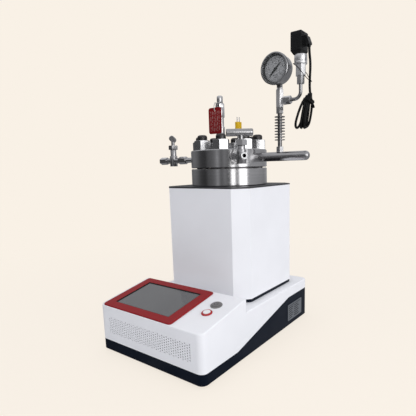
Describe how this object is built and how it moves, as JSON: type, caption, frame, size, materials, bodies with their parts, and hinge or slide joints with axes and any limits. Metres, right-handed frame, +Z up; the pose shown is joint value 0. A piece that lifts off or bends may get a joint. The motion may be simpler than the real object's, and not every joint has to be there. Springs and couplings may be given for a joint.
{
  "type": "hydrothermal reactor",
  "caption": "Bench hydrothermal reactor: a bolted steel pressure vessel with needle valves, pressure gauge and relief valve, in a heated stirred tower on a touch-screen console.",
  "frame": {"origin": "on the floor below the middle of the machine's box, its free cable left out", "axes": "+Z up; the console's front face looks along -Y; +X to the right as the user faces the screen"},
  "size_m": [0.4015, 0.379, 0.5789],
  "materials": {
    "navy_paint": "satin powder coat",
    "white_paint": "satin powder coat",
    "foot_rubber": "matt",
    "red_bezel": "satin",
    "screen_glass": "glossy dark glass",
    "dark_plastic": "matt",
    "dark_plastic_motor": "matt",
    "red_ring": "gloss",
    "white_cap": "gloss",
    "dark_metal": "brushed",
    "bare_plate": "satin",
    "black_plastic": "matt",
    "green_board": "satin",
    "zinc_sheet": "zinc plated",
    "dark_plate": "satin",
    "heater_alloy": "cast",
    "fibre_wool": "soft matt",
    "stainless": "fine turned",
    "nut_steel": "bright",
    "stud_steel": "blackened",
    "white_ptfe": "waxy",
    "fitting_steel": "polished",
    "gauge_steel": "polished",
    "red_tag": "enamel",
    "yellow_plastic": "satin",
    "clear_lens": "clear",
    "dial_white": "matt",
    "cable_rubber": "satin"
  },
  "bodies": {
    "root": {"base_tray": "navy_paint", "upper_shell": "white_paint", "feet": "foot_rubber", "screen_bezel": "red_bezel", "screen_glass": "screen_glass", "display_module": "dark_plastic", "run_button_ring": "red_ring", "power_button_ring": "dark_metal", "side_plate": "bare_plate", "power_inlet": "black_plastic", "control_board": "green_board", "power_supply": "zinc_sheet", "tower_shell": "white_paint", "tower_plinth": "navy_paint", "top_plate": "dark_plate", "heater_sleeve": "heater_alloy", "heater_band": "zinc_sheet", "insulation": "fibre_wool", "motor_bracket": "zinc_sheet", "stirrer_motor": "dark_plastic_motor"},
    "run_button": {"run_button": "white_cap"},
    "power_button": {"power_button": "dark_metal"},
    "magnet_rotor": {"magnet_rotor": "heater_alloy"},
    "vessel": {"vessel": "stainless", "liner": "white_ptfe", "seal_ring": "white_ptfe", "studs": "stud_steel"},
    "stir_bar": {"stir_bar": "white_ptfe"},
    "lid": {"lid": "stainless", "lid_nuts": "nut_steel", "dip_tube": "fitting_steel", "relief_body": "fitting_steel", "relief_cap": "fitting_steel", "well_fitting": "fitting_steel", "thermowell": "fitting_steel", "thermocouple_plug": "yellow_plastic", "thermocouple_pins": "fitting_steel", "arm_rod": "fitting_steel", "tube_nuts": "fitting_steel", "finned_tube": "fitting_steel", "gauge_tee": "fitting_steel", "gauge_case": "gauge_steel", "gauge_bezel": "gauge_steel", "gauge_lens": "clear_lens", "gauge_dial": "dial_white", "branch_tube": "fitting_steel", "transmitter_body": "fitting_steel", "din_plug": "black_plastic", "cable_gland": "black_plastic", "cable_drop": "cable_rubber", "cable_hank": "cable_rubber", "cable_ties": "black_plastic", "valve_bodies": "fitting_steel", "valve_glands": "fitting_steel", "valve_nipples": "fitting_steel"},
    "gauge_pointer": {"gauge_pointer": "black_plastic"},
    "left_valve_handle": {"left_valve_handle": "fitting_steel"},
    "front_valve_handle": {"front_valve_handle": "fitting_steel"},
    "relief_tag": {"relief_tag": "red_tag", "tag_wire": "fitting_steel"}
  },
  "joints": [
    {"name": "vessel_lift", "type": "slide", "parent": "root", "child": "vessel", "axis": [0, 0, 1], "range_m": [0, 0.17]},
    {"name": "lid_lift", "type": "slide", "parent": "vessel", "child": "lid", "axis": [0, 0, 1], "range_m": [0, 0.16]},
    {"name": "magnet_spin", "type": "hinge", "parent": "root", "child": "magnet_rotor", "pos_m": [0.00935, 0.061, 0.0875], "axis": [0, 0, 1], "continuous": true},
    {"name": "stir_spin", "type": "hinge", "parent": "vessel", "child": "stir_bar", "pos_m": [0.00935, 0.061, 0.1802], "axis": [0, 0, 1], "continuous": true},
    {"name": "left_valve_turn", "type": "hinge", "parent": "lid", "child": "left_valve_handle", "pos_m": [-0.15415, 0.061, 0.3634], "axis": [0, 0, 1], "range_deg": [-720, 360]},
    {"name": "front_valve_turn", "type": "hinge", "parent": "lid", "child": "front_valve_handle", "pos_m": [0.11659, -0.04813, 0.3634], "axis": [0, 0, 1], "range_deg": [-360, 720]},
    {"name": "gauge_pointer_turn", "type": "hinge", "parent": "lid", "child": "gauge_pointer", "pos_m": [0.13225, 0.061, 0.5214], "axis": [0, 1, 0], "range_deg": [0, 270], "stiffness_Nm_per_rad": 0.00002, "springref_deg": -5.73},
    {"name": "tag_turn", "type": "hinge", "parent": "lid", "child": "relief_tag", "pos_m": [-0.01465, 0.066, 0.4702], "axis": [0, 0, 1], "range_deg": [-60, 60]},
    {"name": "run_button_press", "type": "slide", "parent": "root", "child": "run_button", "axis": [0, 0.1725, -0.985], "range_m": [0, 0.0015], "stiffness_N_per_m": 500, "springref_m": -0.001},
    {"name": "power_button_press", "type": "slide", "parent": "root", "child": "power_button", "axis": [0, 0.1725, -0.985], "range_m": [0, 0.0015], "stiffness_N_per_m": 500, "springref_m": -0.001}
  ],
  "couplings": [
    {"joint": "stir_spin", "follows": "magnet_spin", "ratio": 1}
  ]
}
